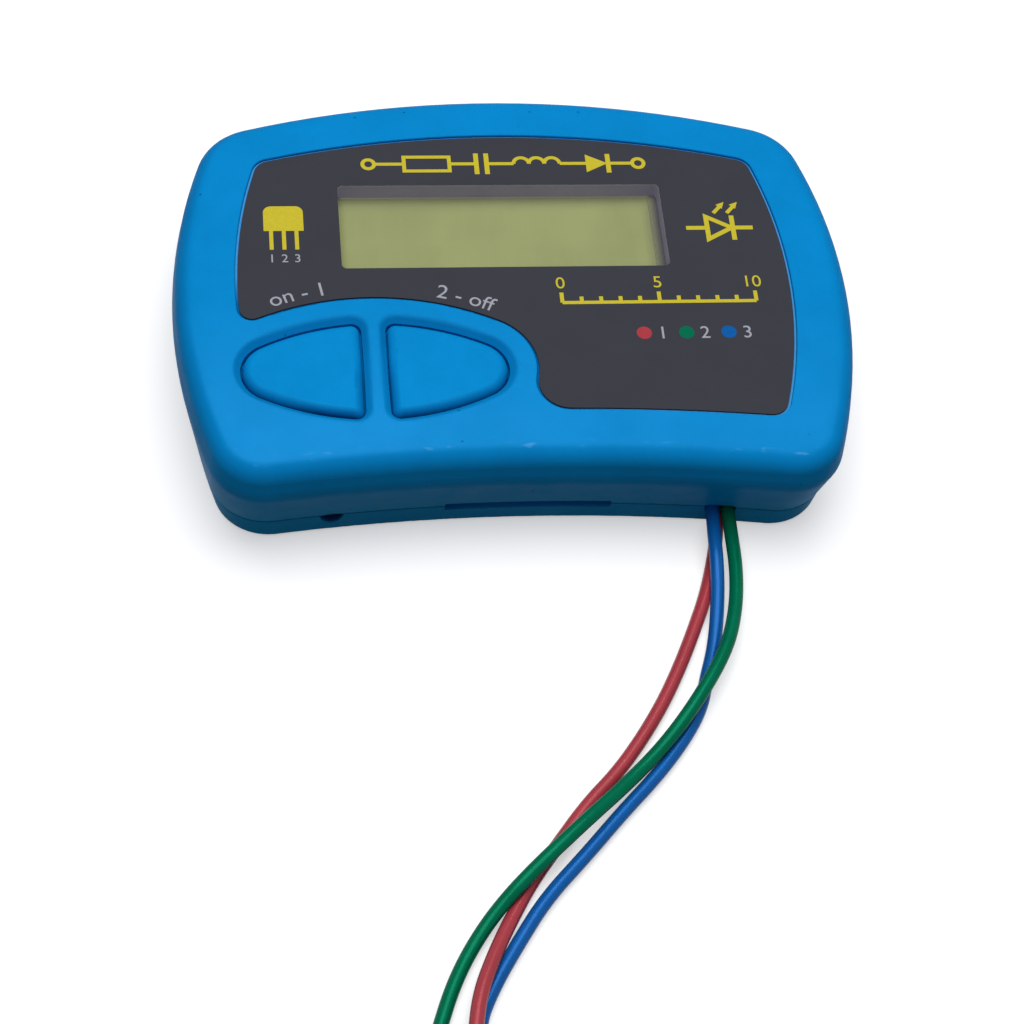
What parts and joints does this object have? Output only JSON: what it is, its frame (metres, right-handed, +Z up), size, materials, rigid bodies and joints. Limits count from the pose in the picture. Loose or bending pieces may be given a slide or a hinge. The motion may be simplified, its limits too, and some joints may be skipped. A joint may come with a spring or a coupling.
{
  "type": "component tester",
  "caption": "Hand-held electronic component tester with a curved two-piece case, character display, lens-shaped push-buttons and coloured test leads that end in spring hook clips.",
  "frame": {"origin": "on the table, under the case, midway between its sides", "axes": "+X to the right along the case, +Y away from the user, +Z up out of the display face"},
  "size_m": [0.1024, 0.2125, 0.02],
  "materials": {
    "case_plastic": "satin moulding, finely grained",
    "button_plastic": "satin moulding",
    "screw_steel": "plated",
    "label_film": "printed film, fine texture",
    "clear_window": "clear",
    "frame_plastic": "matt",
    "bezel_metal": "satin",
    "display_glass": "matt polariser over yellow-green",
    "contact_rubber": "matt",
    "circuit_board": "solder mask",
    "header_plastic": "matt",
    "chip_plastic": "matt",
    "can_steel": "drawn can",
    "capacitor_aluminium": "drawn can",
    "battery_sleeve": "printed sleeve",
    "contact_steel": "nickel plated",
    "spring_steel": "drawn wire",
    "hook_plating": "gold plated wire",
    "green_wire": "soft sleeve",
    "blue_wire": "soft sleeve",
    "red_wire": "soft sleeve",
    "green_clip_plastic": "glossy",
    "blue_clip_plastic": "glossy",
    "red_clip_plastic": "glossy"
  },
  "bodies": {
    "case": {"bottom_shell": "case_plastic", "top_shell": "case_plastic", "case_screws": "screw_steel", "face_label": "label_film", "lcd_window": "clear_window", "lcd_surround": "frame_plastic", "lcd_bezel": "bezel_metal", "lcd_glass": "display_glass", "lcd_connectors": "contact_rubber", "lcd_board": "circuit_board", "lcd_header": "header_plastic", "main_board": "circuit_board", "microcontroller": "chip_plastic", "crystal": "can_steel", "capacitors": "capacitor_aluminium", "resistors": "chip_plastic", "transistors": "chip_plastic", "battery": "battery_sleeve", "battery_cradle": "header_plastic", "battery_positive_contact": "contact_steel", "battery_negative_contact": "contact_steel", "lead_clamp": "header_plastic", "test_switch_body": "can_steel", "scroll_switch_body": "can_steel", "green_lead": "green_wire", "green_clip_plunger": "green_clip_plastic", "green_clip_spring": "spring_steel", "green_clip_hook": "hook_plating", "blue_lead": "blue_wire", "blue_clip_plunger": "blue_clip_plastic", "blue_clip_spring": "spring_steel", "blue_clip_hook": "hook_plating", "red_lead": "red_wire", "red_clip_plunger": "red_clip_plastic", "red_clip_spring": "spring_steel", "red_clip_hook": "hook_plating"},
    "test_button": {"test_button": "button_plastic", "test_switch_plunger": "header_plastic"},
    "scroll_button": {"scroll_button": "button_plastic", "scroll_switch_plunger": "header_plastic"},
    "green_clip_barrel": {"green_clip_barrel": "green_clip_plastic"},
    "blue_clip_barrel": {"blue_clip_barrel": "blue_clip_plastic"},
    "red_clip_barrel": {"red_clip_barrel": "red_clip_plastic"}
  },
  "joints": [
    {"name": "test_button_press", "type": "slide", "parent": "case", "child": "test_button", "axis": [0, 0, -1], "range_m": [0, 0.0005], "stiffness_N_per_m": 400, "springref_m": -0.003},
    {"name": "scroll_button_press", "type": "slide", "parent": "case", "child": "scroll_button", "axis": [0, 0, -1], "range_m": [0, 0.0005], "stiffness_N_per_m": 400, "springref_m": -0.003},
    {"name": "green_clip_slide", "type": "slide", "parent": "case", "child": "green_clip_barrel", "axis": [0.4327, 0.9015, 0], "range_m": [0, 0.004], "stiffness_N_per_m": 200, "springref_m": -0.004, "deforming": ["green_clip_spring"]},
    {"name": "blue_clip_slide", "type": "slide", "parent": "case", "child": "blue_clip_barrel", "axis": [-0.4027, 0.9153, 0], "range_m": [0, 0.004], "stiffness_N_per_m": 200, "springref_m": -0.004, "deforming": ["blue_clip_spring"]},
    {"name": "red_clip_slide", "type": "slide", "parent": "case", "child": "red_clip_barrel", "axis": [0.0476, 0.9989, 0], "range_m": [0, 0.004], "stiffness_N_per_m": 200, "springref_m": -0.004, "deforming": ["red_clip_spring"]}
  ]
}
